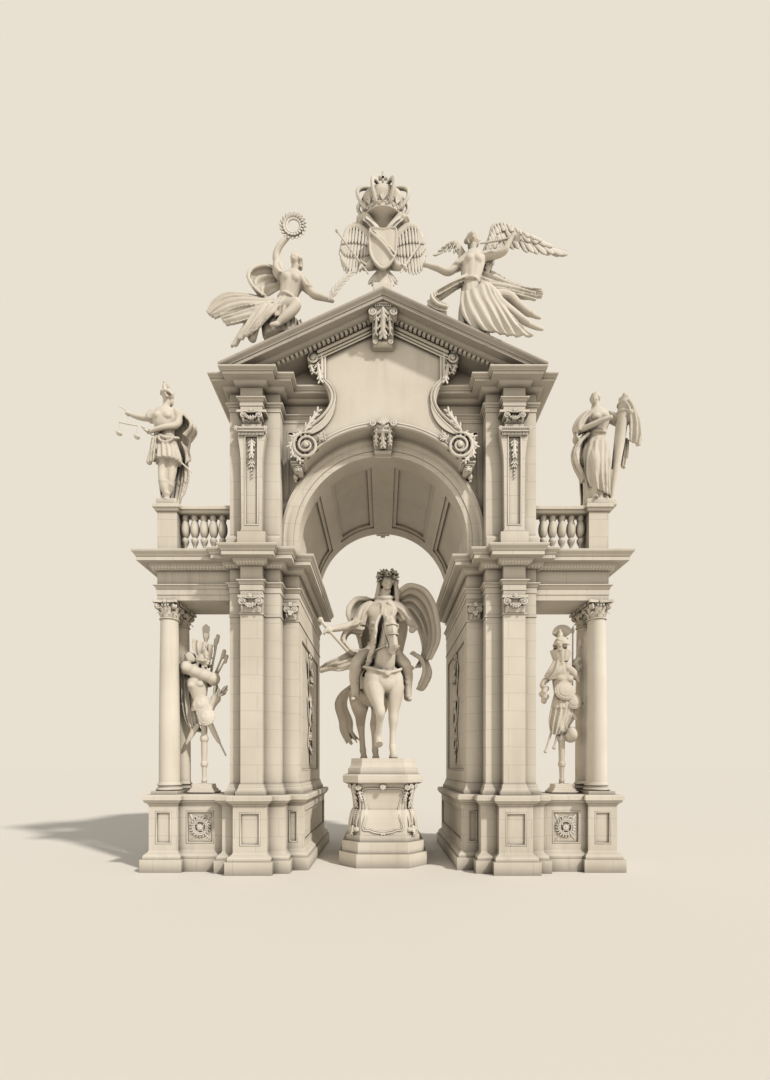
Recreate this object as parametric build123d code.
from build123d import *
import math
import os

# A baroque triumphal arch in stone, with open column wings, an upper storey with a pediment,
# statues, trophies and a rider on a pedestal in the passage. Millimetres, +Z up. The origin is
# on the ground in the middle of the passage, the front faces -Y, and left is -X.

# Plan of the central block
passage_half = 1815.0        # middle of the passage to a jamb
passage_length = 3400.0      # jamb face to jamb face, front to back
jamb_width = 335.0
inner_strip = 325.0
pilaster_width = 450.0
outer_strip = 275.0
strip_step = 330.0           # strips stand forward of the jamb face
pilaster_step = 180.0        # pilasters stand forward of the strips

# Levels of the lower storey
pedestal_plinth_top = 266.0
pedestal_base_top = 437.0
pedestal_die_top = 1390.0
pedestal_top = 1600.0
pedestal_plinth_out = 250.0
pedestal_die_out = 120.0
pedestal_cap_out = 225.0
pier_base_height = 230.0
pier_base_out = 85.0
capital_height = 380.0
capital_out = 70.0
lower_order_top = 5690.0     # underside of the lower entablature
architrave_height = 320.0
frieze_height = 290.0
cornice_height = 320.0
cornice_out = 370.0
panel_depth = 35.0
panel_border = 130.0

# Wings
column_x = 4580.0
wing_set_back = 450.0        # front columns behind the face of the pilasters
column_spacing = 580.0
column_bottom_radius = 210.0
column_top_radius = 178.0
column_base_width = 550.0
wing_strip_half = 180.0
relief_set_back = 100.0

# Balustrade on each wing
parapet_base_height = 150.0
baluster_height = 790.0
handrail_height = 150.0
handrail_out = 75.0
dado_width = 414.0
baluster_count = 5
baluster_radius = 95.0

# Arch and upper storey
arch_stilt = 427.0           # springing above the lower cornice
arch_ring = 335.0
archivolt_out = 90.0
archivolt_width = 372.0
wall_thickness = 500.0
coffer_depth = 90.0
upper_plinth_height = 380.0
upper_plinth_out = 62.0
upper_order_height = 2880.0
upper_architrave_height = 240.0
upper_frieze_height = 220.0
upper_cornice_height = 190.0
upper_cornice_out = 350.0

# Pediment and roof
pediment_rise = 1500.0
rake_thickness = 250.0

# Tablet over the arch
tablet_half = 1300.0
tablet_base = 9200.0         # where the sides of the tablet widen to their foot
tablet_depth = 400.0
tablet_frame = 120.0
tablet_recess = 40.0

# Statue pedestal in the passage
statue_pedestal_y = -207.0
statue_pedestal_length = 3100.0
statue_pedestal_half = 675.0
statue_pedestal_top = 2371.0
horse_turn = 14.0            # degrees
horse_x = -190.0             # middle of the horse beside the passage's centre line
statue_base_height = 150.0

# Figures over the front raking cornices
crest_set_back = 240.0
figure_set_back = 270.0
crown_lift = 1600.0          # underside of the crown over the peak

# Values that follow from those above
jamb_y = passage_length / 2
strip_y = jamb_y + strip_step
pilaster_y = strip_y + pilaster_step
jamb_edge = passage_half + jamb_width
strip_edge = jamb_edge + inner_strip
pilaster_edge = strip_edge + pilaster_width
block_half = pilaster_edge + outer_strip
lower_top = lower_order_top + architrave_height + frieze_height + cornice_height
springing = lower_top + arch_stilt
upper_order_top = lower_top + upper_order_height
upper_top = upper_order_top + upper_architrave_height + upper_frieze_height + upper_cornice_height
rake_half = pilaster_edge + upper_cornice_out
rake_front = pilaster_y + upper_cornice_out
rake_slope = pediment_rise / rake_half
rake_end_top = upper_top + 50.0
apex = rake_end_top + pediment_rise
column_front_y = wing_set_back - pilaster_y
column_back_y = column_front_y + column_spacing
wing_outer = column_x + wing_strip_half
wing_inner = column_x - wing_strip_half
wing_front = column_front_y - wing_strip_half
wing_back = column_back_y + wing_strip_half
handrail_top = lower_top + parapet_base_height + baluster_height + handrail_height
crest_y = crest_set_back - rake_front
figure_y = figure_set_back - rake_front
crown_z = apex + crown_lift


def offset_plan(points, distance):
    """The plan with each edge moved out by distance and mitred corners."""
    count = len(points)
    moved = []
    for i in range(count):
        lines = []
        for start, end in ((points[i - 1], points[i]), (points[i], points[(i + 1) % count])):
            dx, dy = end[0] - start[0], end[1] - start[1]
            length = math.hypot(dx, dy)
            nx, ny = dy / length, -dx / length
            lines.append((nx, ny, nx * start[0] + ny * start[1] + distance))
        (a, b, c), (d, e, f) = lines
        det = a * e - b * d
        moved.append(((c * e - b * f) / det, (a * f - c * d) / det))
    return moved


def moulded(plan, profile):
    """A solid whose mouldings run round the plan. The profile is (out, z) from bottom to top."""
    rings = [[Vector(x, y, z) for x, y in offset_plan(plan, out)] for out, z in profile]
    faces = [Face(Wire.make_polygon(rings[0])), Face(Wire.make_polygon(rings[-1]))]
    for low, high in zip(rings, rings[1:]):
        for i in range(len(low)):
            j = (i + 1) % len(low)
            faces.append(Face(Wire.make_polygon([low[i], low[j], high[j], high[i]])))
    return Solid(Shell(faces))


def curve(start, end, bulge, steps=4):
    """Points of a moulding between two profile points: bulge 1 is round, -1 hollow, 0 an ogee."""
    (r0, z0), (r1, z1) = start, end
    points = []
    for k in range(1, steps):
        t = k / steps
        angle = t * math.pi / 2
        if bulge > 0:
            u, v = math.sin(angle), 1 - math.cos(angle)
        elif bulge < 0:
            u, v = 1 - math.cos(angle), math.sin(angle)
        else:
            u, v = (1 - math.cos(2 * angle)) / 2, t
        points.append((r0 + (r1 - r0) * u, z0 + (z1 - z0) * v))
    return points


def pier_plan():
    """Outline of the right pier, anticlockwise from its front jamb corner."""
    front = [
        (passage_half, -jamb_y),
        (jamb_edge, -jamb_y),
        (jamb_edge, -strip_y),
        (strip_edge, -strip_y),
        (strip_edge, -pilaster_y),
        (pilaster_edge, -pilaster_y),
        (pilaster_edge, -strip_y),
        (block_half, -strip_y),
    ]
    return front + [(x, -y) for x, y in reversed(front)]


def upper_plan():
    """Outline of the whole upper block."""
    right = [
        (jamb_edge, -jamb_y),
        (jamb_edge, -strip_y),
        (strip_edge, -strip_y),
        (strip_edge, -pilaster_y),
        (pilaster_edge, -pilaster_y),
        (pilaster_edge, -strip_y),
        (block_half, -strip_y),
    ]
    front = [(-x, y) for x, y in reversed(right)] + right
    return front + [(-x, -y) for x, y in front]


def wing_plan():
    """Outline of the right wing's pedestal, with the relief panels set back."""
    return [
        (block_half, wing_front + relief_set_back),
        (wing_inner, wing_front + relief_set_back),
        (wing_inner, wing_front),
        (wing_outer, wing_front),
        (wing_outer, wing_back),
        (wing_inner, wing_back),
        (wing_inner, wing_back - relief_set_back),
        (block_half, wing_back - relief_set_back),
    ]


def pedestal_profile():
    die, plinth, cap = pedestal_die_out, pedestal_plinth_out, pedestal_cap_out
    base_curve_low = (plinth - 40, pedestal_plinth_top + 60)
    base_curve_high = (die, pedestal_base_top)
    cap_low = (die + 20, pedestal_die_top + 30)
    cap_mid = (cap - 25, pedestal_top - 110)
    return (
        [(plinth, 0.0), (plinth, pedestal_plinth_top), (plinth - 15, pedestal_plinth_top)]
        + curve((plinth - 40, pedestal_plinth_top), base_curve_low, 1)
        + [base_curve_low]
        + curve(base_curve_low, base_curve_high, 0)
        + [base_curve_high, (die, pedestal_die_top), (die + 20, pedestal_die_top), cap_low]
        + curve(cap_low, cap_mid, 1)
        + [cap_mid, (cap, pedestal_top - 110), (cap, pedestal_top - 30), (cap - 20, pedestal_top)]
    )


def entablature_profile(bottom, heights, out):
    """Architrave with two faces and a crown, plain frieze, and a cornice with a hollow and a corona."""
    architrave, frieze, cornice = heights
    a1, a2 = bottom + architrave * 0.36, bottom + architrave * 0.74
    top_a = bottom + architrave
    top_f = top_a + frieze
    top_c = top_f + cornice
    bed = (out * 0.34, top_f + cornice * 0.30)
    corona_low = top_f + cornice * 0.36
    corona_high = top_f + cornice * 0.62
    return (
        [(0.0, bottom), (0.0, a1), (12.0, a1), (12.0, a2), (24.0, a2)]
        + curve((24.0, a2), (58.0, top_a - 18), -1)
        + [(70.0, top_a - 18), (70.0, top_a), (0.0, top_a), (0.0, top_f), (14.0, top_f)]
        + curve((14.0, top_f), bed, 1)
        + [bed, (out * 0.36, corona_low), (out * 0.80, corona_low), (out * 0.80, corona_high)]
        + [(out * 0.84, corona_high)]
        + curve((out * 0.84, corona_high), (out, top_c - 22), 0)
        + [(out, top_c - 22), (out, top_c)]
    )


def box_between(low, high):
    size = [b - a for a, b in zip(low, high)]
    middle = [(a + b) / 2 for a, b in zip(low, high)]
    return Pos(*middle) * Box(*size)


def leaf(root, height, reach, width):
    """Curled capital leaf that rises from its root and bends out along +X."""
    x, y, z = root
    return body([(x, y, z, width * 0.9, 13.0), (x + reach * 0.3, y, z + height * 0.6, width, 14.0),
                 (x + reach, y, z + height, width * 0.5, 8.0)], side=(0, 1, 0))


def sunk_panel(x0, x1, z0, z1, y_face, depth):
    """A recess to cut from a wall face that looks along -Y or +Y, by the sign of y_face."""
    y_in = y_face - math.copysign(depth, y_face)
    y_out = y_face + math.copysign(depth, y_face)
    return box_between((x0, min(y_in, y_out), z0), (x1, max(y_in, y_out), z1))


def pier_pedestal():
    solid = moulded(pier_plan(), pedestal_profile())
    z0 = pedestal_base_top + panel_border
    z1 = pedestal_die_top - panel_border
    front = pilaster_y + pedestal_die_out
    jamb_front = jamb_y + pedestal_die_out
    cuts = []
    for side in (-1, 1):
        cuts.append(sunk_panel(strip_edge - pedestal_die_out + panel_border,
                               pilaster_edge + pedestal_die_out - panel_border,
                               z0, z1, side * front, panel_depth))
        cuts.append(sunk_panel(passage_half, jamb_edge - panel_border, z0, z1,
                               side * jamb_front, panel_depth))
    inner_x = passage_half - pedestal_die_out
    cuts.append(box_between((inner_x - panel_depth, -jamb_y, z0),
                            (inner_x + panel_depth, jamb_y, z1)))
    outer_x = block_half + pedestal_die_out
    cuts.append(box_between((outer_x - panel_depth, wing_back + pedestal_cap_out + panel_border, z0),
                            (outer_x + panel_depth, strip_y - panel_border, z1)))
    return solid - cuts


def pier():
    """Shaft of the lower pier with its base mouldings, and the tall panel in the passage."""
    base_top = pedestal_top + pier_base_height
    out = pier_base_out
    profile = (
        [(out, pedestal_top), (out, pedestal_top + 80)]
        + [(out - 14, pedestal_top + 80)]
        + curve((out - 14, pedestal_top + 80), (out - 30, pedestal_top + 140), 1)
        + [(out - 50, pedestal_top + 150)]
        + curve((out - 50, pedestal_top + 150), (20.0, base_top - 30), -1)
        + [(20.0, base_top - 30), (20.0, base_top), (0.0, base_top)]
        + [(0.0, lower_order_top - capital_height), (18.0, lower_order_top - capital_height),
           (18.0, lower_order_top - capital_height + 32),
           (0.0, lower_order_top - capital_height + 32), (0.0, lower_order_top)]
    )
    solid = moulded(pier_plan(), profile)
    z0, z1 = base_top + 2 * panel_border, lower_order_top - capital_height - 2 * panel_border
    recess = box_between((passage_half - panel_depth, -jamb_y + jamb_width, z0),
                         (passage_half + panel_depth, jamb_y - jamb_width, z1))
    side = box_between((block_half - panel_depth, wing_back + 3 * panel_border, z0),
                       (block_half + panel_depth, strip_y - 2 * panel_border, z1))
    return solid - [recess, side]


def scroll(radius, depth):
    """A short roll, the volute of a capital, with its axis along Y."""
    eye = Cylinder(radius * 0.35, depth * 1.15)
    return Rot(90, 0, 0) * (Cylinder(radius, depth) + eye)


def pilaster_capital(x0, x1, y_face, bottom, height, out):
    """Capital in front of a flat pilaster: volutes at its corners, a garland swag and an abacus."""
    side = math.copysign(1, y_face)
    width = x1 - x0
    middle = (x0 + x1) / 2
    roll = height * 0.24
    depth = out
    centre_y = y_face + side * depth / 2
    abacus_h = height * 0.16
    block = Pos(middle, centre_y, bottom + height - abacus_h / 2) * Box(width + out, depth, abacus_h)
    bell = Pos(middle, y_face + side * depth * 0.3, bottom + height * 0.43) * Box(
        width * 0.9, depth * 0.6, height * 0.86)
    piece = block + bell
    for hand in (-1, 1):
        centre = Pos(middle + hand * (width / 2 - roll * 0.7), centre_y, bottom + height * 0.62)
        piece += centre * scroll(roll, depth)
    for row, (places, low, high) in enumerate((((-1, 0, 1), 0.04, 0.34), ((-0.5, 0.5), 0.10, 0.56))):
        for place in places:
            foliage = leaf((depth * 0.5, 0, height * low), height * (high - low), depth * 0.4,
                           width * 0.15)
            piece += (Pos(middle + place * width * 0.3, y_face, bottom) * Rot(0, 0, side * 90) * foliage)
    behind = Pos(middle, y_face - side * depth, bottom + height / 2) * Box(3 * width, 2 * depth,
            3 * height)
    return piece - behind


def pier_capitals():
    """One capital for each front and back pilaster of the lower pier."""
    bottom = lower_order_top - capital_height + 32.0
    height = capital_height - 32.0
    pieces = []
    for side in (-1, 1):
        pieces.append(pilaster_capital(strip_edge, pilaster_edge, side * pilaster_y,
                                       bottom, height, capital_out))
        pieces.append(pilaster_capital(passage_half + 35, jamb_edge - 35, side * jamb_y,
                                       bottom, height, capital_out))
    return Compound(pieces)


def column(x, y):
    """Round shaft with a slight swelling on an attic base, turned about its own axis."""
    r0, r1 = column_bottom_radius, column_top_radius
    half = column_base_width / 2
    z0 = pedestal_top
    plinth_h = 75.0
    z1 = z0 + pier_base_height
    z2 = lower_order_top - capital_height
    neck = 32.0
    torus = half - 8
    base = Polyline((0, z0 + plinth_h), (torus - 30, z0 + plinth_h))
    lower = ThreePointArc((torus - 30, z0 + plinth_h), (torus, z0 + plinth_h + 32),
                          (torus - 30, z0 + plinth_h + 64))
    fillet = Polyline((torus - 30, z0 + plinth_h + 64), (r0 + 22, z0 + plinth_h + 72))
    hollow = ThreePointArc((r0 + 22, z0 + plinth_h + 72), (r0 + 8, z0 + plinth_h + 90),
                           (r0 + 18, z0 + plinth_h + 108))
    upper = ThreePointArc((r0 + 18, z0 + plinth_h + 108), (r0 + 36, z0 + plinth_h + 126),
                          (r0 + 18, z1 - 12))
    step = Polyline((r0 + 18, z1 - 12), (r0 + 12, z1), (r0, z1 + 30))
    shaft = Spline((r0, z1 + 30), (r0 - 4, z0 + (z2 - z0) * 0.4), (r1, z2))
    collar = ThreePointArc((r1, z2), (r1 + 26, z2 + neck / 2), (r1, z2 + neck))
    top = Polyline((r1, z2 + neck), (0, z2 + neck), (0, z0 + plinth_h))
    outline = make_face(Curve() + [base, lower, fillet, hollow, upper, step, shaft, collar, top])
    turned = revolve(Plane.XZ * outline, Axis.Z)
    plinth = Pos(0, 0, z0 + plinth_h / 2) * Box(column_base_width, column_base_width, plinth_h)
    return Pos(x, y, 0) * (turned + plinth)


def column_capital(x, y):
    """Bell with four corner volutes and an abacus with hollow sides."""
    z0 = lower_order_top - capital_height + 32.0
    height = lower_order_top - z0
    r = column_top_radius
    abacus_h = 55.0
    half = r + 82.0
    bell = Pos(0, 0, z0) * Solid.make_cone(r - 4, r + 30, height - abacus_h)
    abacus = Pos(0, 0, height + z0 - abacus_h / 2) * Box(2 * half, 2 * half, abacus_h)
    bite_r = half * 3.0
    for angle in range(0, 360, 90):
        away = Rot(0, 0, angle) * Pos(half - 34 + bite_r, 0, z0 + height - abacus_h / 2)
        abacus -= away * Cylinder(bite_r, abacus_h * 2)
    piece = bell + abacus
    roll = 66.0
    for angle in range(45, 360, 90):
        at = Rot(0, 0, angle) * Pos(r + 62, 0, z0 + height - abacus_h - roll)
        piece += at * scroll(roll, 60.0)
    for k in range(8):
        piece += Rot(0, 0, 45 * k) * leaf((r - 6, 0, z0 + 8), 112.0, 54.0, 50.0)
        piece += Rot(0, 0, 45 * k + 22.5) * leaf((r + 2, 0, z0 + 60), 150.0, 60.0, 42.0)
    return Pos(x, y, 0) * piece


def wing_pedestal(central):
    solid = moulded(wing_plan(), pedestal_profile())
    z0 = pedestal_base_top + panel_border
    z1 = pedestal_die_top - panel_border
    out = pedestal_die_out
    cuts = []
    for y_col, y_rel in ((wing_front - out, wing_front + relief_set_back - out),
                         (wing_back + out, wing_back - relief_set_back + out)):
        cuts.append(sunk_panel(wing_inner - out + panel_border, wing_outer + out - panel_border,
                               z0, z1, y_col, panel_depth))
        cuts.append(sunk_panel(block_half + pedestal_cap_out + panel_border,
                               wing_inner - out - panel_border, z0, z1, y_rel, panel_depth))
    outer_x = wing_outer + out
    cuts.append(box_between((outer_x - panel_depth, wing_front - out + panel_border, z0),
                            (outer_x + panel_depth, wing_back + out - panel_border, z1)))
    return (solid - cuts) - central


def lower_heights():
    return architrave_height, frieze_height, cornice_height


def pier_entablature():
    return moulded(pier_plan(), entablature_profile(lower_order_top, lower_heights(), cornice_out))


def wing_entablature(central):
    plan = [(block_half, wing_front), (wing_outer, wing_front), (wing_outer, wing_back),
            (block_half, wing_back)]
    return moulded(plan, entablature_profile(lower_order_top, lower_heights(), cornice_out)) - central


def parapet():
    """Base course, end dado and handrail over the front of a wing."""
    x0, x1 = block_half, wing_outer
    y0 = wing_front
    y1 = y0 + dado_width
    z0 = lower_top
    z1 = z0 + parapet_base_height
    z2 = z1 + baluster_height
    run = [(x0 - 100, y0 + 60), (x1 - 60, y0 + 60), (x1 - 60, y1 - 60), (x0 - 100, y1 - 60)]
    dado = [(x1 - dado_width, y0), (x1, y0), (x1, y1), (x1 - dado_width, y1)]
    base = moulded(run, [(0.0, z0), (0.0, z1 - 20), (-12.0, z1)])
    rail = moulded(run, [(-30.0, z2)] + curve((-30.0, z2), (10.0, z2 + 60), 1)
                   + [(10.0, z2 + 60), (40.0, z2 + 70), (40.0, z2 + 120), (25.0, handrail_top)])
    post = moulded(dado, [(30.0, z0), (30.0, z1 - 30), (0.0, z1), (0.0, z2), (12.0, z2)]
                   + curve((12.0, z2), (50.0, z2 + 60), 1)
                   + [(50.0, z2 + 60), (handrail_out, z2 + 70), (handrail_out, z2 + 120),
                      (handrail_out - 20, handrail_top)])
    inside = box_between((x0 - 200, y0 - 200, z0 - 10), (x0, y1 + 200, handrail_top + 10))
    return (base + rail + post) - inside


def baluster():
    """Double-bellied baluster, turned."""
    h = baluster_height
    r = baluster_radius
    foot = r * 0.72
    outline = make_face(Curve() + [
        Polyline((0, 0), (foot, 0), (foot, 60), (r * 0.4, 75)),
        Spline((r * 0.4, 75), (r * 0.34, h * 0.17), (r * 0.78, h * 0.31), (r * 0.42, h * 0.42)),
        Spline((r * 0.42, h * 0.42), (r * 0.7, h * 0.47), (r, h * 0.68), (r * 0.62, h * 0.86)),
        Polyline((r * 0.62, h * 0.86), (r * 0.8, h * 0.9), (r * 0.8, h), (0, h), (0, 0)),
    ])
    return revolve(Plane.XZ * outline, Axis.Z)


def balusters():
    start = block_half + 140.0
    end = wing_outer - dado_width
    y = wing_front + dado_width / 2
    pitch = (end - start) / baluster_count
    one = baluster()
    z = lower_top + parapet_base_height
    return Compound([Pos(start + pitch * (i + 0.5), y, z) * one for i in range(baluster_count)])


def half_ring(inner, outer, y0, y1, leg):
    """Half round arch with straight legs down to the lower cornice, along Y."""
    face = Pos(0, 0) * make_face(Polyline(
        (-outer, 0), (outer, 0), (outer, -leg), (-outer, -leg), (-outer, 0)))
    face = face + (Circle(outer) & Pos(0, outer / 2) * Rectangle(2 * outer, outer))
    hole = Circle(inner) + Pos(0, -leg / 2 - 5) * Rectangle(2 * inner, leg + 10)
    flat = face - hole
    # Plane.XZ looks along -Y, so a positive amount goes towards -Y
    return Pos(0, y1, springing) * extrude(Plane.XZ * flat, y1 - y0)


def barrel_vault():
    """Coffered vault over the passage, with a plain band along its crown."""
    solid = half_ring(passage_half, passage_half + arch_ring, -jamb_y, jamb_y, arch_stilt)
    length = passage_length - 2 * jamb_width
    for first, last in ((8, 40), (50, 82), (98, 130), (140, 172)):
        for inset, depth in ((0.0, coffer_depth * 0.4), (3.0, coffer_depth)):
            a0, a1 = math.radians(first + inset), math.radians(last - inset)
            r = passage_half + depth
            reach = passage_half - 60.0
            flat = make_face(Curve() + [
                Line((reach * math.cos(a0), reach * math.sin(a0)), (r * math.cos(a0), r * math.sin(a0))),
                ThreePointArc((r * math.cos(a0), r * math.sin(a0)),
                              (r * math.cos((a0 + a1) / 2), r * math.sin((a0 + a1) / 2)),
                              (r * math.cos(a1), r * math.sin(a1))),
                Line((r * math.cos(a1), r * math.sin(a1)), (reach * math.cos(a1), reach * math.sin(a1))),
                Line((reach * math.cos(a1), reach * math.sin(a1)),
                     (reach * math.cos(a0), reach * math.sin(a0))),
            ])
            span = length - 2 * inset * 40
            solid -= Pos(0, span / 2, springing) * extrude(Plane.XZ * flat, span)
    return solid


def archivolt(side):
    """Moulded ring on the face of the vault: two faces, a hollow and an outer bead."""
    r0, r1 = passage_half, passage_half + archivolt_width
    y0 = jamb_y
    out = archivolt_out
    width = archivolt_width
    section = make_face(Curve() + [
        Polyline((r0, y0), (r0, y0 + out * 0.45), (r0 + width * 0.3, y0 + out * 0.45),
                 (r0 + width * 0.3, y0 + out * 0.62), (r0 + width * 0.62, y0 + out * 0.62)),
        ThreePointArc((r0 + width * 0.62, y0 + out * 0.62), (r0 + width * 0.76, y0 + out * 0.72),
                      (r0 + width * 0.84, y0 + out)),
        Polyline((r0 + width * 0.84, y0 + out), (r1, y0 + out), (r1, y0), (r0, y0)),
    ])
    turned = Pos(0, 0, springing) * revolve(section, Axis.Y, 180)
    if turned.bounding_box().max.Z < springing + r0:
        turned = Pos(0, 0, springing) * revolve(section, Axis.Y, -180)
    legs = [Pos(0, 0, lower_top) * extrude(mirror_x(section, hand), arch_stilt) for hand in (1, -1)]
    ring = turned + legs[0] + legs[1]
    return ring if side > 0 else Rot(0, 0, 180) * ring


def mirror_x(shape, hand):
    return shape if hand > 0 else mirror(shape, Plane.YZ)


def keystone(side):
    """Console at the crown of an archivolt, wider at its top."""
    face = -jamb_y
    low = face - archivolt_out - 40
    high = face - archivolt_out - 150
    z0 = springing + passage_half - 12.0
    z1 = springing + passage_half + arch_ring + 130.0
    front = [(-175, z0), (175, z0), (235, z1), (-235, z1)]
    wedge = Pos(0, face, 0) * extrude(Plane.XZ * make_face(Polyline(*front, close=True)), 400)
    profile = make_face(Curve() + [
        Polyline((low, z0), (face, z0), (face, z1), (high, z1), (high, z1 - 120)),
        ThreePointArc((high, z1 - 120), (high + 70, z1 - 260), (low, z0 + 90)),
        ThreePointArc((low, z0 + 90), (low - 22, z0 + 40), (low, z0)),
    ])
    wedge &= Pos(-300, 0, 0) * extrude(Plane.YZ * profile, 600)
    roll = Pos(0, high + 40, z1 - 60) * Rot(0, 90, 0) * (Cylinder(70, 480) + Cylinder(30, 510))
    tongue = body([(0, high + 20, z1 - 90, 120, 30), (0, high + 66, z1 - 240, 110, 34),
                   (0, low - 14, z0 + 90, 60, 26)])
    piece = wedge + roll + tongue
    return piece if side < 0 else Rot(0, 0, 180) * piece


def spandrel_wall(side):
    """Wall over the arch up to the upper entablature, with two sunk spandrel panels."""
    r = passage_half + arch_ring
    z1 = upper_order_top
    flat = Pos(0, (z1 - springing) / 2) * Rectangle(2 * jamb_edge, z1 - springing) - Circle(r)
    wall = Pos(0, -jamb_y + wall_thickness, springing) * extrude(Plane.XZ * flat, wall_thickness)
    border = 110.0
    reach = r + border
    panel = Pos(0, (z1 - springing) / 2) * Rectangle(2 * (jamb_edge - border),
                                                     z1 - springing - 2 * border)
    panel = (panel - Circle(reach)) - Pos(0, (z1 - springing) / 2) * Rectangle(2 * 1150.0, z1)
    wall -= Pos(0, -jamb_y + panel_depth, springing) * extrude(Plane.XZ * panel, panel_depth * 2)
    return wall if side < 0 else Rot(0, 0, 180) * wall


def upper_pier():
    """Flank block of the upper storey on its own plinth, with a sunk panel on its outer side."""
    inner = jamb_edge - 100
    plan = [(inner, -strip_y), (block_half, -strip_y), (block_half, strip_y), (inner, strip_y)]
    z0 = lower_top
    z1 = z0 + upper_plinth_height
    out = upper_plinth_out
    profile = [(out, z0), (out, z1 - 60), (out * 0.4, z1), (0.0, z1), (0.0, upper_order_top)]
    solid = moulded(plan, profile)
    inside = box_between((inner - 300, -rake_front, z0 - 10),
                         (jamb_edge, rake_front, upper_order_top + 10))
    panel = box_between((block_half - panel_depth, -strip_y + 3 * panel_border, z1 + 2 * panel_border),
                        (block_half + panel_depth, strip_y - 3 * panel_border,
                         upper_order_top - 2 * panel_border))
    return solid - [panel, inside]


def herm_pilaster(side):
    """Tapering pilaster with a flared top, a cushion and its capital, over a plinth."""
    z0 = lower_top
    z1 = z0 + upper_plinth_height
    middle = (strip_edge + pilaster_edge) / 2
    half = pilaster_width / 2
    flare = z1 + 1350.0
    cushion = z1 + 2020.0
    right = Curve() + [
        Polyline((0, z1), (half - 2, z1), (half - 2, z1 + 45), (half - 20, z1 + 70)),
        Line((half - 20, z1 + 70), (half - 8, flare)),
        ThreePointArc((half - 8, flare), (half + 18, flare + 380), (half + 70, cushion)),
        Line((half + 70, cushion), (0, cushion)),
        Line((0, cushion), (0, z1)),
    ]
    flat = make_face(right)
    flat = flat + mirror(flat, Plane.YZ)
    depth = pilaster_step
    shaft = extrude(Plane.XZ * flat, depth)
    panel_half = half - 105.0
    panel = Pos(0, -depth, (z1 + 160 + cushion - 60) / 2) * Box(
        2 * panel_half, 2 * panel_depth, cushion - 60 - z1 - 160)
    shaft -= panel
    plinth = Pos(0, -(depth + 30) / 2, (z0 + z1) / 2) * Box(2 * half + 120, depth + 30,
                                                            upper_plinth_height)
    roll = 70.0
    pad = Pos(0, -depth + 10, cushion + roll) * Rot(0, 90, 0) * Cylinder(roll, 2 * half + 150)
    pad += Pos(0, -(depth - 10) / 2, cushion + roll) * Box(2 * half + 150, depth - 10, 2 * roll)
    neck_top = cushion + 2 * roll + 50
    neck = Pos(0, -depth / 2, cushion + 2 * roll + 25) * Box(2 * half - 60, depth, 50)
    capital = pilaster_capital(-half + 20, half - 20, -1.0, neck_top, upper_order_top - neck_top,
                               depth + 20)
    piece = Pos(middle, -strip_y, 0) * (shaft + plinth + pad + neck + capital)
    return piece if side < 0 else mirror(piece, Plane.XZ)


def upper_entablature(tablet):
    """Course round the whole block, open over the hollow of the upper storey."""
    heights = upper_architrave_height, upper_frieze_height, upper_cornice_height
    course = moulded(upper_plan(), entablature_profile(upper_order_top, heights, upper_cornice_out))
    inner_y = jamb_y - wall_thickness
    hollow = box_between((-jamb_edge, -inner_y, upper_order_top - 10),
                         (jamb_edge, inner_y, upper_top + 10))
    return course - [hollow, tablet]


def tympanum(side):
    """Triangular wall inside the gable, under the raking cornices."""
    top = rake_end_top - rake_thickness
    half = (jamb_edge + strip_edge) / 2
    points = [(-half, upper_top), (half, upper_top), (half, top + rake_slope * (rake_half - half)),
              (0, top + rake_slope * rake_half), (-half, top + rake_slope * (rake_half - half))]
    wall = extrude(Plane.XZ * make_face(Polyline(*points, close=True)), wall_thickness)
    wall = Pos(0, -jamb_y + wall_thickness, 0) * wall
    return wall if side < 0 else Rot(0, 0, 180) * wall


def raking_roof():
    """Right half of the gabled roof, whose front and back edges are the raking cornices."""
    t = rake_thickness
    out = upper_cornice_out
    front = rake_front
    half_section = (
        [(front, 0.0), (front, -25.0)]
        + [(front - o, z) for o, z in curve((0.0, -25.0), (out * 0.16, -110.0), 0)]
        + [(front - out * 0.16, -110.0), (front - out * 0.20, -110.0), (front - out * 0.20, -180.0),
           (front - out * 0.62, -180.0)]
        + [(front - o, z) for o, z in curve((out * 0.62, -180.0), (out * 0.86, -t), -1)]
        + [(front - out * 0.86, -t)]
    )
    section = [(-y, z) for y, z in half_section] + [(y, z) for y, z in reversed(half_section)]
    ends = []
    for x in (0.0, rake_half):
        top = apex - rake_slope * x
        ends.append([Vector(x, y, top + z) for y, z in section])
    faces = [Face(Wire.make_polygon(end)) for end in ends]
    for i in range(len(section)):
        j = (i + 1) % len(section)
        faces.append(Face(Wire.make_polygon([ends[0][i], ends[0][j], ends[1][j], ends[1][i]])))
    return Solid(Shell(faces))


def gabled_roof():
    """Both slopes of the roof, resting on the upper cornice."""
    slope = raking_roof()
    below = Pos(0, 0, upper_top - 1000) * Box(3 * rake_half, 3 * rake_front, 2000)
    return slope + mirror(slope, Plane.YZ) - below


def under_roof():
    """The whole space below the top of the roof, to seat the figures on it."""
    low = rake_end_top - 1500.0
    outline = make_face(Polyline((-rake_half, low), (rake_half, low), (rake_half, rake_end_top),
                                 (0, apex),
                                 (-rake_half, rake_end_top), close=True))
    return Pos(0, rake_front, 0) * extrude(Plane.XZ * outline, 2 * rake_front)


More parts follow.
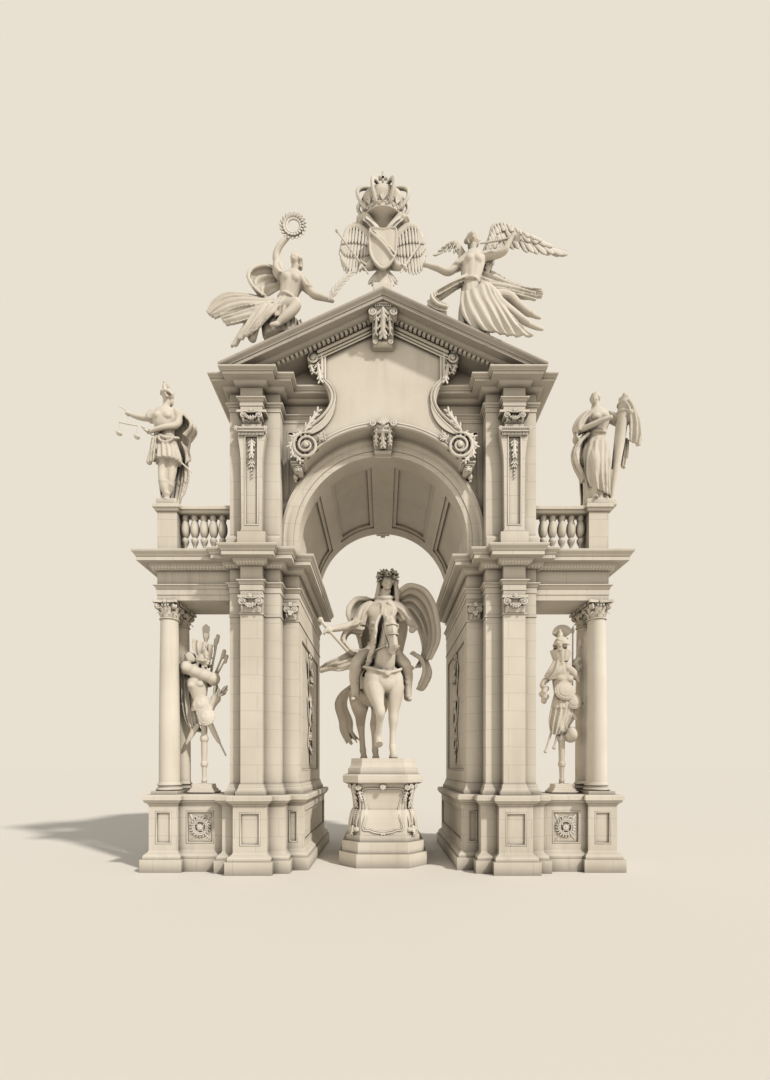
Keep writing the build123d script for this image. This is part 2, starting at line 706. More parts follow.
def tablet_outline(inset):
    """Outline of the tablet over the arch, with bitten sides, moved in by inset."""
    half = tablet_half - inset
    waist = 1110.0 - inset
    low = 1640.0 - inset
    peak = apex - rake_thickness - inset
    z_head = peak - half * rake_slope
    z_side = tablet_base + 1000.0 + inset * 0.2
    z_waist = tablet_base + 530.0
    z_foot = tablet_base - 460.0
    right = [
        Line((0, peak), (half, z_head)),
        Line((half, z_head), (half, z_side)),
        ThreePointArc((half, z_side), (waist, z_waist), (low, tablet_base - inset)),
        Line((low, tablet_base - inset), (low, z_foot)),
        Line((low, z_foot), (0, z_foot)),
        Line((0, z_foot), (0, peak)),
    ]
    flat = make_face(Curve() + right)
    flat = flat + mirror(flat, Plane.YZ)
    return flat - Pos(0, springing) * Circle(passage_half + archivolt_width + inset)


def cartouche():
    """Tall tablet in front of the arch: a sunk field in a raised frame, with volutes at head and foot."""
    scrolls = []
    z_head = apex - rake_thickness - tablet_half * rake_slope
    for hand in (-1, 1):
        scrolls.append((hand * (tablet_half + 130), z_head - 200, 140.0))
        scrolls.append((hand * 1590, tablet_base - 370, 335.0))
    flat = tablet_outline(0.0)
    for x, z, radius in scrolls:
        flat += Pos(x, z) * Circle(radius)
    flat -= Pos(0, springing) * Circle(passage_half + archivolt_width)
    tablet = extrude(Plane.XZ * flat, tablet_depth)
    field = tablet_outline(tablet_frame)
    tablet -= Pos(0, tablet_recess - tablet_depth, 0) * extrude(Plane.XZ * field, 120.0)
    for x, z, radius in scrolls:
        groove = Circle(radius * 0.78) - Circle(radius * 0.58)
        tablet -= Pos(x, 40.0 - tablet_depth, z) * extrude(Plane.XZ * groove, 80.0)
        tablet += Pos(x, 10.0 - tablet_depth, z) * Rot(90, 0, 0) * Cylinder(radius * 0.3, 100.0)
    return Pos(0, -jamb_y, 0) * tablet


def gable_console():
    """Bracket under the peak of the front raking cornices, in front of the tablet's head."""
    top = apex - rake_thickness + 120.0
    foot = top - 720.0
    front = -rake_front + 150
    back = -jamb_y - 300
    profile = make_face(Curve() + [
        Line((back, top), (front, top)),
        Line((front, top), (front, top - 160)),
        ThreePointArc((front, top - 160), (front + 110, top - 330), (back - 190, foot + 130)),
        ThreePointArc((back - 190, foot + 130), (back - 160, foot + 20), (back, foot)),
        Line((back, foot), (back, top)),
    ])
    bracket = Pos(-215, 0, 0) * extrude(Plane.YZ * profile, 430)
    for hand in (-1, 1):
        bracket += Pos(hand * 200, front + 70, top - 250) * scroll(92, 130)
    return bracket + Pos(0, back - 130, foot + 60) * Rot(0, 90, 0) * Cylinder(74, 380)


def body(path, side=(1, 0, 0)):
    """Rounded body lofted through ellipses (x, y, z, half width, half depth) along its own line."""
    points = [Vector(*p[:3]) for p in path]
    faces = []
    for k, (x, y, z, a, b) in enumerate(path):
        along = (points[min(k + 1, len(path) - 1)] - points[max(k - 1, 0)]).normalized()
        across = Vector(*side)
        across = (across - along * across.dot(along)).normalized()
        faces.append(Plane(origin=points[k], x_dir=across, z_dir=along) * Ellipse(a, b))
    return loft(faces)


def arm(*joints, side=(0, 1, 0)):
    """Round limb through joints given as (x, y, z, radius)."""
    return body([(x, y, z, r, r * 0.96) for x, y, z, r in joints], side)


def joined(first, *others, at=None):
    """One body from pieces that run into each other, fused where it stands if a place is given."""
    if at is not None:
        first, others = at * first, [at * piece for piece in others]
    return first.fuse(*others)


def head_at(x, y, z, size, turn=0.0, back=0.0):
    """Neck and head from the base of the neck up, size being the half height of the head."""
    head = body([(0, 0, 0, size * 0.60, size * 0.60),
                 (0, -size * 0.05, size * 0.8, size * 0.50, size * 0.52),
                 (0, -size * 0.25, size * 1.5, size * 0.62, size * 0.72),
                 (0, -size * 0.15, size * 2.3, size * 0.80, size * 0.95),
                 (0, -size * 0.05, size * 3.1, size * 0.40, size * 0.45)])
    return Pos(x, y, z) * Rot(back, 0, turn) * head


def feathered(top, tips):
    """Flat wing outline: a spline over its bone and a scallop at the tip of each feather."""
    edges = [Spline(*top), Line(top[-1], tips[0])]
    for (x0, z0), (x1, z1) in zip(tips, tips[1:]):
        bulge = 0.28
        middle = ((x0 + x1) / 2 + (z1 - z0) * bulge, (z0 + z1) / 2 - (x1 - x0) * bulge)
        edges.append(ThreePointArc((x0, z0), middle, (x1, z1)))
    edges.append(Line(tips[-1], top[0]))
    return make_face(Curve() + edges)


def justice(place):
    """Helmeted figure with scales in an outstretched hand, a sword at the hip and a long cloak."""
    base = Pos(0, 0, statue_base_height / 2) * Box(380, 380, statue_base_height)
    foot = statue_base_height
    leg = arm((-60, -10, foot, 60), (-128, -30, 470, 92), (-146, -50, 640, 84), (-125, -10, 1060, 130),
              side=(1, 0, 0))
    other_leg = arm((-200, 100, foot, 60), (-85, 90, 470, 88), (-20, 40, 660, 84), (20, 30, 1060, 130),
                    side=(1, 0, 0))
    feet = [arm((-60, 0, 185, 58), (-44, -90, 180, 48), (-34, -170, 175, 34)),
            arm((-205, 100, 185, 58), (-215, 20, 180, 48), (-225, -50, 175, 34))]
    tunic = body([(-60, 0, 980, 285, 225), (-55, 0, 1250, 238, 188), (-68, 0, 1540, 165, 132)])
    chest = body([(-68, 0, 1500, 166, 133), (-112, -12, 1800, 224, 155), (-118, -6, 2000, 246, 152),
                  (-98, 0, 2190, 110, 90)])
    held_out = arm((-230, 0, 2080, 92), (-400, -14, 2025, 80), (-560, -36, 1958, 62),
                   (-720, -54, 1975, 54),
                   (-880, -60, 2030, 44))
    finger = arm((-845, -60, 2006, 26), (-970, -78, 2110, 22), (-1060, -85, 2160, 13))
    at_hip = arm((110, 0, 2080, 92), (170, 5, 1930, 82), (120, -90, 1760, 66), (-90, -190, 1640, 56),
                 (-310, -222, 1552, 46))
    cloak = body([(-50, 190, 230, 190, 46), (-60, 205, 700, 300, 64), (0, 200, 1400, 300, 76),
                  (60, 160, 1900, 290, 84), (0, 80, 2160, 200, 70)])
    swell = arm((190, 60, 2090, 80), (390, 80, 1980, 90), (440, 80, 1780, 84), (330, 60, 1560, 60))
    fall = arm((-250, -120, 1480, 66), (-330, -120, 1230, 58), (-400, -90, 980, 66))
    crest = Pos(-62, 20, 2480) * Rot(0, 90, 0) * Cylinder(225, 52)
    brim = Pos(-66, -20, 2455) * Cylinder(140, 30)
    sword = arm((-470, -234, 1612, 22), (0, -80, 1214, 20), (430, 60, 850, 12))
    guard = arm((-420, -300, 1520, 18), (-400, -150, 1540, 18))
    thread = Pos(-880, -60, 1910) * Cylinder(11, 230)
    beam = arm((-1074, -60, 1842, 15), (-680, -60, 1766, 15))
    pans = [Pos(x, -60, z) * Cone(66, 12, 240) for x, z in ((-1060, 1725), (-694, 1656))]
    return joined(tunic, base, leg, other_leg, *feet, chest, held_out, finger, at_hip, cloak, swell, fall,
                  head_at(-90, 0, 2150, 120, -20), crest, brim, sword, guard, thread, beam, *pans,
                  at=place)


def fortitude(place):
    """Draped figure who embraces a tall pillar that widens upward, with a cloth hung over it."""
    base = Pos(25, 0, statue_base_height / 2) * Box(510, 380, statue_base_height)
    robe = body([(10, 0, 120, 250, 170), (0, 0, 700, 262, 190), (-30, 0, 1230, 255, 195),
                 (15, 0, 1560, 175, 136)])
    chest = body([(15, 0, 1520, 176, 137), (45, -10, 1800, 232, 156), (60, 0, 1990, 252, 150),
                  (15, 0, 2160, 110, 90)])
    pillar = body([(222, -110, 130, 56, 56), (350, -120, 900, 94, 94), (490, -130, 1700, 122, 122),
                   (561, -140, 2266, 118, 118)])
    sleeve = arm((-140, 0, 2030, 96), (-300, -20, 1850, 104), (-370, -60, 1650, 96),
                 (-160, -200, 1670, 64),
                 (150, -270, 1775, 46))
    over = arm((270, 0, 2000, 96), (440, -20, 1860, 88), (620, -60, 1790, 70), (700, -150, 1850, 54),
               (610, -250, 1905, 44))
    hanging = body([(700, -110, 1270, 90, 60), (740, -120, 1480, 150, 84), (660, -130, 1760, 140, 110),
                    (590, -130, 1990, 150, 150)])
    swell = arm((-250, 20, 1480, 100), (-400, 30, 1220, 112), (-340, 40, 900, 84), (-250, 40, 640, 40))
    thigh = arm((-60, -60, 1250, 170), (-80, -170, 900, 120), (-60, -140, 500, 90), (-30, -130, 180, 66),
                side=(1, 0, 0))
    bun = Pos(60, 110, 2400) * Sphere(62)
    return joined(robe, base, chest, pillar, sleeve, over, hanging, swell, thigh,
                  head_at(5, 0, 2110, 122, -25), bun, at=place)


def trophy_stand():
    """Flared stand with a tapered post that carries a trophy."""
    stand = loft([Rectangle(578, 480), Pos(0, 0, 100) * Rectangle(430, 350),
                  Pos(0, 0, 208) * Rectangle(410, 330)], ruled=True)
    post = Pos(0, 0, 200 + 1400) * Cone(44, 70, 2800)
    return stand + post


def round_shield(x, y, z, radius, tilt, swing):
    """Domed round shield with a flat rim."""
    dome = Sphere(radius * 1.25) & Pos(0, 0, radius * 1.25) * Box(3 * radius, 3 * radius, radius)
    disc = Pos(0, 0, radius * 0.72) * Cylinder(radius, 30)
    return Pos(x, y, z) * Rot(90 + tilt, swing, 0) * Pos(0, 0, -radius * 0.9) * (dome + disc)


def left_trophy():
    """Drum, helmet, quiver, round shields and a hanging banner on a post."""
    parts = [body([(-80, -60, 1330, 120, 96), (-60, -70, 1700, 150, 120), (-40, -80, 2100, 190, 150),
                   (-120, -80, 2420, 230, 170), (-170, -70, 2640, 160, 120)])]
    parts.append(Pos(-60, -90, 2560) * Rot(0, 28, 0) * Box(640, 250, 230))
    parts.append(Pos(-20, -70, 2900) * Sphere(170))
    parts.append(body([(-140, -40, 2860, 110, 90), (-330, -20, 3000, 150, 110), (-380, 0, 2850, 90, 80)],
                      (0, 1, 0)))
    parts.append(body([(-260, -20, 1420, 60, 50), (-390, -20, 1800, 110, 60), (-440, -10, 2300, 120, 60),
                       (-400, 0, 2640, 70, 50)]))
    parts.append(Pos(-10, -60, 3250) * Rot(0, 24, 0) * Box(330, 40, 260))
    parts.append(arm((20, -40, 2900, 30), (60, -40, 3200, 34), (70, -40, 3560, 56), (70, -40, 3700, 40)))
    parts.append(arm((60, 20, 2500, 30), (190, 30, 3000, 34), (260, 30, 3480, 30)))
    parts.append(arm((120, 40, 2400, 34), (300, 40, 2860, 38), (430, 40, 3160, 34)))
    parts.append(arm((140, -60, 1750, 100), (260, -60, 1960, 96), (350, -60, 2120, 80)))
    parts.append(arm((430, 30, 850, 22), (250, 30, 1250, 26), (-320, 30, 2550, 26)))
    parts.append(arm((-390, 20, 1080, 44), (-250, 20, 1350, 60), (-100, 20, 1600, 50)))
    shields = [round_shield(90, -130, 1640, 190, 10, 0), round_shield(10, -110, 1950, 180, -10, 20)]
    return joined(trophy_stand(), *parts, *shields)


def right_trophy():
    """Plumed helmet, mask, cuirass, spears, round shields and drapery on a post."""
    parts = [body([(-10, -60, 1500, 110, 90), (-30, -70, 1850, 190, 150), (0, -80, 2250, 210, 160),
                   (30, -70, 2600, 200, 140), (0, -60, 2800, 110, 90)])]
    parts.append(Pos(-40, -80, 3010) * Cone(150, 215, 260))
    parts.append(Pos(-30, -80, 3270) * Sphere(200))
    parts.append(arm((-230, -110, 3200, 60), (-160, -190, 3180, 70), (0, -240, 3190, 60)))
    parts.append(body([(-20, -40, 3400, 70, 60), (-60, -30, 3560, 130, 90), (60, -20, 3640, 120, 80),
                       (160, -10, 3500, 60, 50)], (0, 1, 0)))
    parts.append(arm((250, 20, 1900, 26), (230, 20, 2900, 28), (260, 20, 3640, 16)))
    parts.append(arm((60, 60, 1600, 24), (260, 60, 2700, 26), (400, 60, 3380, 16)))
    parts.append(arm((-340, 0, 900, 26), (-180, 0, 1500, 30), (380, 0, 2500, 30)))
    parts.append(body([(-300, -20, 2150, 70, 50), (-330, -10, 2450, 150, 84),
                       (-150, -20, 2760, 130, 84)]))
    parts.append(body([(-140, -60, 1280, 110, 70), (-150, -70, 1560, 190, 120),
                       (-90, -60, 1950, 150, 110)]))
    parts.append(body([(250, -60, 1500, 60, 50), (330, -50, 1750, 120, 80), (260, -40, 2050, 90, 70)]))
    parts.append(Pos(210, -90, 1180) * Cone(70, 190, 150))
    shields = [round_shield(-20, -150, 2160, 220, 0, 0), round_shield(160, -110, 1420, 190, 10, -20)]
    return joined(trophy_stand(), *parts, *shields)


def statue_pedestal():
    """Chamfered steps, a waisted body with side volutes, a cap and a hollow top plinth."""
    def octagon(half, length, cut):
        a, b = half, length / 2
        y0 = statue_pedestal_y
        return [(-a, y0 - b + cut), (-a + cut, y0 - b), (a - cut, y0 - b), (a, y0 - b + cut),
                (a, y0 + b - cut), (a - cut, y0 + b), (-a + cut, y0 + b), (-a, y0 + b - cut)]
    w, length = statue_pedestal_half, statue_pedestal_length
    plan = octagon(w, length - 600, 230)
    out = 305.0
    profile = (
        [(out, 0.0), (out, 300.0), (out - 70, 300.0), (out - 70, 545.0), (out - 160, 545.0),
         (out - 160, 670.0), (out - 190, 690.0)]
        + curve((out - 190, 690.0), (0.0, 1250.0), -1, 6)
        + [(0.0, 1250.0)]
        + [(150.0 * (1 - math.cos(k / 6 * math.pi / 2)), 1250.0 + 560.0 * math.sin(k / 6 * math.pi / 2))
           for k in range(1, 7)]
        + [(215.0, 1840.0), (225.0, 1900.0), (225.0, 1980.0), (200.0, 2015.0), (110.0, 2025.0)]
        + [(110.0, 2150.0)]
        + curve((110.0, 2150.0), (40.0, 2330.0), 1)
        + [(40.0, 2330.0), (40.0, statue_pedestal_top)]
    )
    return moulded(plan, profile)


def horse():
    """Walking horse with one foreleg raised, turned a little on its pedestal."""
    trunk = body([(0, 1180, 1880, 170, 230), (0, 900, 1850, 390, 420), (0, 100, 1740, 430, 440),
                  (0, -700, 1800, 420, 430), (0, -1060, 1800, 260, 300)])
    neck = body([(0, -560, 2010, 250, 420), (4, -960, 2380, 200, 310), (14, -1110, 2760, 140, 215),
                 (24, -1160, 3020, 96, 150)])
    head = body([(26, -1170, 3060, 90, 110), (36, -1290, 2900, 130, 165), (50, -1410, 2620, 100, 125),
                 (60, -1450, 2420, 90, 106),
                 (62, -1455, 2330, 60, 70)])
    parts = [neck, head]
    for hand in (-1, 1):
        parts.append(arm((30 + hand * 74, -1180, 3080, 46), (32 + hand * 90, -1205, 3200, 50),
                         (34 + hand * 86, -1220, 3320, 14)))
        parts.append(body([(hand * 200, 1100, 1900, 150, 200), (hand * 205, 850, 1850, 250, 360),
                           (hand * 190, 560, 1750, 200, 260)]))
    fore = [(240, -900, 1640, 225), (215, -945, 1200, 150), (200, -965, 900, 112),
            (185, -960, 600, 72), (180, -975, 250, 84)]
    lifted = [(-230, -920, 1640, 225), (-215, -1140, 1280, 155), (-190, -1310, 1000, 112),
              (-186, -1170, 700, 72), (-186, -1085, 480, 84)]
    hind = [(-215, 860, 1700, 290), (-225, 800, 1300, 205), (-155, 1060, 930, 112),
            (-120, 1040, 520, 78), (-105, 1000, 250, 90)]
    other = [(215, 820, 1700, 290), (240, 690, 1300, 205), (190, 890, 930, 112),
             (175, 820, 520, 78), (170, 750, 250, 90)]
    for joints, hoof in ((fore, (178, -1030, -20)), (lifted, (-186, -1110, 330)),
                         (hind, (-100, 945, -20)), (other, (170, 695, -20))):
        parts.append(arm(*joints, side=(1, 0, 0)))
        x, y, z, r = joints[-1]
        pastern = ((x + hoof[0]) / 2, (y + hoof[1]) / 2, (z + hoof[2]) / 2, 78)
        parts.append(arm((x, y, z + 30, r * 0.9), pastern, (*hoof, 108), side=(1, 0, 0)))
    parts.append(arm((0, 1100, 2000, 80), (-220, 1340, 2040, 120), (-540, 1370, 1760, 160),
                     (-620, 1320, 1350, 170),
                     (-500, 1230, 820, 130), (-420, 1200, 520, 50)))
    saddle = body([(0, -620, 1980, 470, 300), (0, 0, 1930, 482, 320), (0, 600, 1990, 470, 310)])
    mane = body([(-60, -640, 2300, 150, 210), (-150, -960, 2500, 130, 210), (-130, -1120, 2860, 100, 160),
                 (-20, -1180, 3110, 60, 90)])
    floor = Pos(0, 0, -200) * Box(2000, 4000, 400)
    animal = joined(trunk, *parts, saddle, mane) - floor
    return Pos(horse_x, statue_pedestal_y, statue_pedestal_top) * Rot(0, 0, horse_turn) * animal


def rider(mount):
    """Rider in armour with a laurel wreath, a baton and a wide billowing cloak, seated astride."""
    skirt = body([(-120, -213, 2189, 400, 330), (-95, -233, 2529, 340, 280), (-70, -233, 2769, 262, 215)])
    chest = body([(-70, -233, 2709, 268, 220), (-30, -248, 3189, 325, 262), (-10, -243, 3479, 382, 270),
                  (10, -233, 3689, 360, 230), (24, -223, 3829, 170, 150)])
    parts = [chest, head_at(30, -223, 3759, 205, -14)]
    parts.append(arm((-270, -223, 3649, 170), (-450, -243, 3559, 152), (-600, -323, 3349, 122),
                     (-760, -463, 3159, 104),
                     (-1000, -593, 3069, 80), (-1270, -718, 2979, 72)))
    parts.append(arm((270, -223, 3659, 170), (430, -243, 3589, 152), (590, -303, 3399, 122),
                     (720, -483, 3179, 98), (700, -653, 3009, 70)))
    parts.append(arm((-1440, -787, 3204, 52), (-1262, -718, 2979, 44), (-840, -593, 2529, 40)))
    for hand, knee, shin, foot in ((-1, (-600, -653, 2229), (-650, -533, 1829), (-650, -553, 1449)),
                                   (1, (500, -653, 2189), (565, -533, 1829), (580, -553, 1449))):
        parts.append(arm((-100 + hand * 150, -223, 2389, 235),
                         ((knee[0] - 100 + hand * 100) / 2, -473, 2409, 212), (*knee, 165)))
        parts.append(arm((knee[0], knee[1], knee[2] + 60, 150), (*shin, 145), (*foot, 96),
                         side=(1, 0, 0)))
        parts.append(arm((foot[0], foot[1] + 60, foot[2] - 10, 80),
                         (foot[0] + hand * 20, foot[1] - 120, foot[2] - 50, 74),
                         (foot[0] + hand * 40, foot[1] - 290, foot[2] - 70, 46)))
    parts.append(Pos(112, -263, 4369) * Rot(0, -8, 0) * Cone(200, 300, 230))
    parts.append(body([(-60, 167, 2459, 520, 90), (20, 147, 2929, 560, 100), (20, 97, 3479, 620, 110),
                       (0, -33, 3859, 330, 110)]))
    parts.append(arm((-250, -123, 3809, 110), (-600, -123, 3859, 150), (-780, -93, 3629, 150),
                     (-640, -33, 3269, 120)))
    parts.append(arm((420, -253, 4029, 90), (700, -313, 4059, 120), (1040, -293, 3829, 150),
                     (1200, -213, 3329, 170),
                     (1170, -173, 2809, 150), (1020, -153, 2429, 90)))
    parts.append(body([(600, 7, 3779, 180, 90), (900, 7, 3429, 260, 100), (960, 27, 2929, 230, 100),
                       (880, 27, 2449, 160, 90)]))
    parts.append(arm((860, -93, 2529, 90), (1060, -173, 2229, 110), (1020, -193, 1929, 100),
                     (890, -193, 1709, 50)))
    parts.append(arm((-440, -353, 3029, 120), (-780, -353, 2959, 150), (-820, -333, 2709, 130),
                     (-560, -293, 2549, 110)))
    parts.append(arm((-420, -233, 2509, 130), (-820, -273, 2419, 140), (-1180, -303, 2259, 110),
                     (-1520, -313, 2109, 40)))
    return Pos(0, statue_pedestal_y, statue_pedestal_top) * joined(skirt, *parts) - mount


def eagle():
    """Two-headed eagle with a shield on its breast and spread wings, on the peak of the gable."""
    trunk = body([(0, 20, -60, 200, 150), (0, 20, 330, 130, 110), (0, 20, 720, 230, 140),
                  (0, 20, 1050, 240, 140), (0, 0, 1260, 110, 90)])
    parts = []
    for hand in (-1, 1):
        parts.append(arm((hand * 60, 0, 1120, 130), (hand * 150, -10, 1340, 96),
                         (hand * 250, -20, 1480, 84),
                         (hand * 345, -30, 1570, 96), (hand * 400, -40, 1565, 84)))
        parts.append(arm((hand * 390, -42, 1570, 60), (hand * 500, -48, 1556, 38),
                         (hand * 535, -50, 1500, 12)))
        top = [(150, 1080), (330, 1330), (560, 1480), (720, 1440), (850, 1180)]
        tips = [(870, 860), (850, 700), (790, 560), (700, 490), (600, 480), (500, 520), (400, 600),
                (300, 720), (200, 800)]
        parts.append(mirror_x(Pos(0, 60, 0) * extrude(Plane.XZ * feathered(top, tips), 100), hand))
        parts.append(arm((hand * 120, -10, 730, 120), (hand * 260, -40, 610, 84),
                         (hand * 400, -80, 520, 50), (hand * 450, -120, 470, 30)))
        parts.append(mirror_x(arm((60, 10, 640, 90), (140, 0, 400, 90), (230, -10, 170, 60)), hand))
    parts.append(arm((-920, -110, 1230, 22), (-390, -110, 510, 24), (-300, -110, 380, 22)))
    parts.append(arm((880, -110, 1200, 16), (440, -110, 530, 24), (360, -110, 410, 24)))
    half = 265.0
    outline = make_face(Curve() + [
        Spline((-half, 1200), (0, 1200), (half, 1200)),
        Line((half, 1200), (half, 820)),
        ThreePointArc((half, 820), (160, 560), (0, 420)),
        ThreePointArc((0, 420), (-160, 560), (-half, 820)),
        Line((-half, 820), (-half, 1200)),
    ])
    shield = Pos(0, -120, 0) * extrude(Plane.XZ * outline, 80)
    band = Pos(0, -195, 830) * Rot(0, 45, 0) * Box(620, 20, 64)
    band &= Pos(0, -120, 0) * extrude(Plane.XZ * outline, 120)
    return Pos(0, crest_y, apex) * joined(trunk, shield, band, *parts)


def crown():
    """Closed crown: band with leaves, eight swelling arches over a cap, a ball and a cross."""
    flat = 0.62
    ring = extrude(Ellipse(380, 380 * flat), 118) - extrude(Pos(0, 0, 60) * Ellipse(330, 330 * flat), 100)
    swell = ((310, 50), (385, 230), (360, 380), (90, 500))
    cap = loft([Pos(0, 0, z) * Ellipse(r, r * flat) for r, z in swell])
    parts = [cap]
    for k in range(8):
        turn = math.radians(45 * k + 22.5)
        joints = [(r * math.cos(turn), r * flat * math.sin(turn), z, w)
                  for r, z, w in ((352, 100, 34), (470, 200, 38), (535, 330, 40), (490, 450, 38),
                                  (300, 520, 36), (90, 535, 34))]
        parts.append(arm(*joints, side=(math.sin(turn), -math.cos(turn), 0)))
        between = turn - 0.39
        parts.append(Pos(352 * math.cos(between), 352 * flat * math.sin(between), 160) * Cone(52, 22, 150))
    boss = Pos(0, 0, 520) * Cylinder(118, 60)
    ball = Pos(0, 0, 600) * Sphere(62)
    upright = Pos(0, 0, 710) * Box(40, 40, 140)
    across = Pos(0, 0, 705) * Box(124, 40, 40)
    return joined(ring, *parts, boss, ball, upright, across, at=Pos(0, crest_y, crown_z))


def victory():
    """Seated figure on the left slope with a raised wreath, a palm branch and a flying cloak."""
    lap = body([(-2060, 0, -1200, 330, 200), (-2100, 0, -550, 325, 220), (-2060, 0, -250, 250, 200),
                (-1955, 0, 20, 172, 138)])
    chest = body([(-1955, 0, -30, 174, 138), (-1870, -15, 200, 212, 156), (-1840, -5, 410, 240, 146),
                  (-1812, 0, 540, 110, 90)])
    raised = arm((-1960, 0, 420, 100), (-2090, 0, 590, 88), (-2160, -40, 810, 70), (-2080, -70, 1000, 60),
                 (-1910, -84, 1180, 46))
    wreath = Pos(-1800, -90, 1354) * Rot(90, 0, 0) * Torus(195, 46)
    lowered = arm((-1690, 0, 410, 100), (-1580, -10, 280, 88), (-1400, -40, 50, 70),
                  (-1230, -70, -40, 58), (-1030, -84, -110, 50))
    palm = body([(-1080, -100, -140, 24, 18), (-960, -120, 40, 80, 26), (-760, -130, 260, 100, 26),
                 (-545, -130, 465, 20, 12)],
                (1, 0, -1))
    thigh = arm((-2040, -40, -370, 170), (-1880, -150, -330, 142), (-1725, -215, -330, 116))
    shin = arm((-1745, -205, -260, 100), (-1790, -235, -450, 95), (-1940, -262, -620, 82),
               (-2080, -300, -770, 54))
    foot = arm((-1985, -262, -670, 62), (-2110, -312, -795, 50), (-2200, -340, -848, 34))
    other = arm((-2140, -20, -370, 180), (-2330, -130, -420, 155), (-2500, -170, -530, 130),
                (-2600, -170, -800, 120),
                (-2680, -160, -1100, 110))
    loop = arm((-2050, 90, 580, 60), (-2380, 20, 600, 110), (-2640, -20, 450, 110), (-2560, 0, 180, 100),
               (-2300, 30, -10, 80))
    flying = body([(-2180, -60, -100, 160, 90), (-2600, -90, -130, 230, 80), (-3000, -90, -180, 250, 70),
                   (-3350, -70, -300, 170, 60),
                   (-3540, -50, -370, 50, 30)], (0, 0, 1))
    trail = body([(-2200, -120, -370, 130, 60), (-2620, -190, -470, 150, 60),
                  (-3000, -190, -590, 120, 50), (-3240, -170, -590, 50, 30)],
                 (0, 0, 1))
    hem = body([(-2500, -180, -470, 200, 90), (-2700, -190, -770, 200, 90),
                (-2900, -190, -1100, 160, 80)], (1, 0, 0))
    bun = Pos(-1700, 110, 800) * Sphere(70)
    figure = joined(lap, chest, raised, wreath, lowered, palm, thigh, shin, foot, other, loop, flying,
                    trail, hem,
                    head_at(-1812, 0, 470, 136, -25, -14), bun)
    return Pos(0, figure_y, apex) * figure


def fame():
    """Winged figure with a trumpet, held up by the drapery that trails to the slope."""
    robe = body([(1850, 20, -1100, 300, 190), (1840, 10, -550, 290, 215), (1820, 0, -250, 262, 215),
                 (1785, 0, 20, 200, 160),
                 (1770, 0, 290, 170, 136)])
    chest = body([(1770, 0, 240, 172, 138), (1800, -15, 530, 222, 158), (1830, -5, 780, 260, 146),
                  (1828, 0, 930, 110, 90)])
    up = arm((1940, 0, 810, 98), (2120, -30, 845, 86), (2380, -90, 850, 70), (2510, -120, 960, 60),
             (2600, -134, 1130, 48))
    trumpet = arm((1975, -60, 1060, 16), (2400, -88, 1100, 20), (2620, -100, 1122, 36),
                  (2740, -108, 1138, 86))
    out = arm((1710, 0, 800, 98), (1550, -10, 690, 84), (1330, -40, 510, 68), (1100, -70, 550, 56),
              (858, -92, 596, 48))
    leg = arm((1860, -20, -160, 172), (2020, -140, 0, 144), (2220, -210, -170, 112),
              (2500, -205, -430, 94), (2900, -190, -680, 58))
    toes = arm((2880, -190, -670, 56), (3060, -200, -770, 46), (3180, -205, -815, 30))
    other = arm((1900, 0, -200, 172), (2220, -100, -110, 142), (2540, -140, -130, 110),
                (2760, -120, -290, 84), (3000, -100, -410, 54),
                (3150, -110, -500, 30))
    skirt = body([(1880, -170, -50, 230, 90), (2030, -220, -350, 330, 110), (2240, -230, -620, 420, 120),
                  (2420, -230, -940, 520, 110)])
    sash = body([(1760, -100, 350, 90, 60), (1420, -110, 180, 110, 60), (1110, -100, -20, 120, 60),
                 (1040, -90, -200, 110, 60),
                 (1250, -100, -350, 90, 50)], (0, 0, 1))
    flow = body([(1950, 60, 550, 150, 70), (2300, 80, 420, 190, 70), (2680, 70, 260, 160, 70),
                 (3000, 40, 170, 110, 60),
                 (3240, 20, 130, 50, 30)], (0, 0, 1))
    right = [(2000, 820), (2150, 1180), (2420, 1420), (3000, 1320), (3560, 990)]
    right_tips = [(3400, 860), (3200, 780), (3000, 720), (2800, 670), (2620, 630), (2460, 600),
                  (2320, 590), (2180, 600)]
    left = [(1700, 780), (1600, 1000), (1450, 1180), (1300, 1120), (1170, 980)]
    left_tips = [(1240, 900), (1320, 830), (1410, 780), (1500, 740), (1590, 700)]
    wings = [Pos(0, 120, 0) * extrude(Plane.XZ * feathered(right, right_tips), 90),
             Pos(0, 120, 0) * extrude(Plane.XZ * feathered(left, left_tips), 90)]
    bun = Pos(1690, 0, 1200) * Sphere(70)
    figure = joined(robe, chest, up, trumpet, out, leg, toes, other, skirt, sash, flow, *wings,
                    head_at(1828, 0, 860, 136, 75), bun)
    return Pos(0, figure_y, apex) * figure


def write(name, shape):
    export_step(shape, os.path.join("parts", name + ".step"))


def write_pair(name, shape):
    """Writes the right piece and its mirror image on the left."""
    write("right_" + name, shape)
    write("left_" + name, mirror(shape, Plane.YZ))


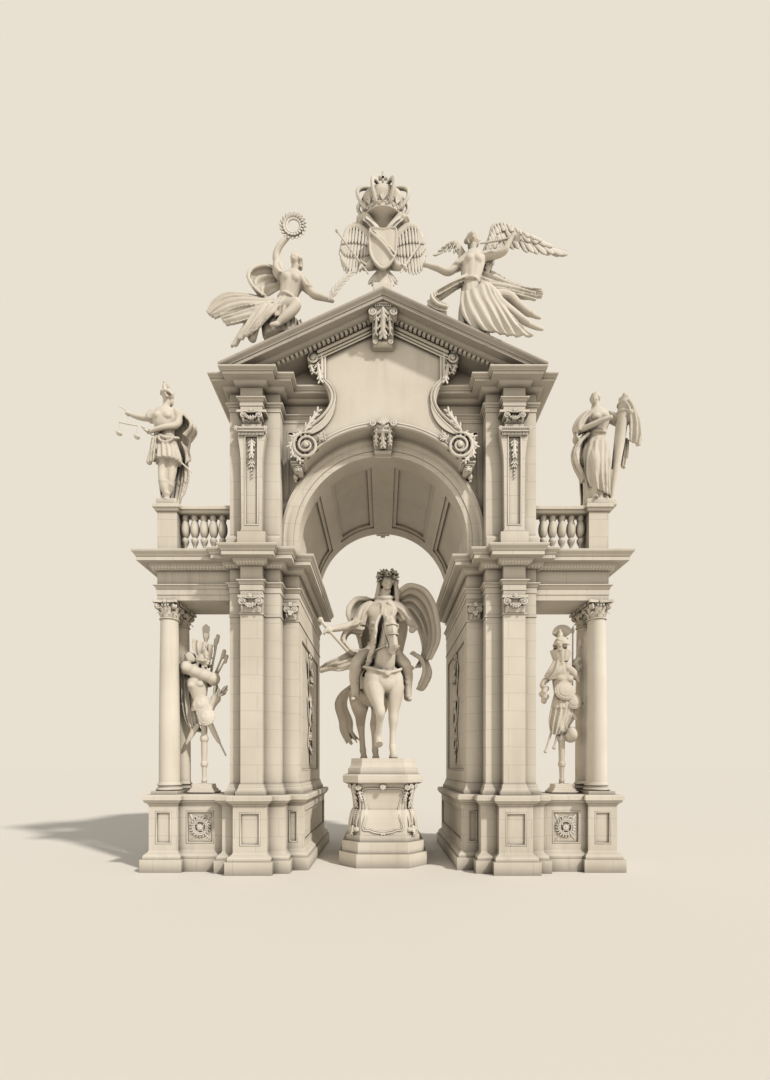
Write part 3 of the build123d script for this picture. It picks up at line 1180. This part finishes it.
def main():
    os.makedirs("parts", exist_ok=True)
    pedestal = pier_pedestal()
    entablature = pier_entablature()
    write_pair("pier_pedestal", pedestal)
    write_pair("pier", pier())
    write_pair("pier_capitals", pier_capitals())
    write_pair("pier_entablature", entablature)
    write_pair("wing_pedestal", wing_pedestal(pedestal))
    write_pair("columns", Compound([column(column_x, column_front_y), column(column_x, column_back_y)]))
    write_pair("column_capitals", Compound([column_capital(column_x, column_front_y),
                                            column_capital(column_x, column_back_y)]))
    write_pair("wing_entablature", wing_entablature(entablature))
    flank = upper_pier()
    write_pair("upper_pier", flank)
    write_pair("upper_pilasters", Compound([herm_pilaster(-1) - flank, herm_pilaster(1) - flank]))
    write_pair("parapet", parapet() - flank)
    write("balusters", Compound([balusters(), mirror(balusters(), Plane.YZ)]))
    write("barrel_vault", barrel_vault())
    flanks = [flank, mirror(flank, Plane.YZ)]
    rings = [archivolt(-1) - flanks, archivolt(1) - flanks]
    write("front_archivolt", rings[0])
    write("back_archivolt", rings[1])
    keys = [keystone(-1) - rings[0], keystone(1) - rings[1]]
    write("keystones", Compound(keys))
    write("front_wall", spandrel_wall(-1))
    write("back_wall", spandrel_wall(1))
    roof = gabled_roof()
    tablet = cartouche() - [keys[0], roof]
    write("cartouche", tablet)
    write("upper_entablature", upper_entablature(tablet))
    write("front_tympanum", tympanum(-1))
    write("back_tympanum", tympanum(1))
    write("roof", roof)
    write("gable_console", gable_console() - [tablet, roof])
    stand_x = wing_outer - dado_width / 2
    stand_y = wing_front + dado_width / 2
    trophy_x = (block_half + wing_inner) / 2 + 130
    trophy_y = (column_front_y + column_back_y) / 2
    write("left_statue", justice(Pos(-stand_x, stand_y, handrail_top)))
    write("right_statue", fortitude(Pos(stand_x, stand_y, handrail_top)))
    write("left_trophy", Pos(-trophy_x, trophy_y, pedestal_top) * left_trophy())
    write("right_trophy", Pos(trophy_x, trophy_y, pedestal_top) * right_trophy())
    write("statue_pedestal", statue_pedestal())
    mount = horse()
    write("horse", mount)
    write("rider", rider(mount))
    crest = crown()
    seat = under_roof()
    bird = eagle() - seat - crest
    write("eagle", bird)
    write("crown", crest)
    write("victory", victory() - seat - bird)
    write("fame", fame() - seat - bird)


main()
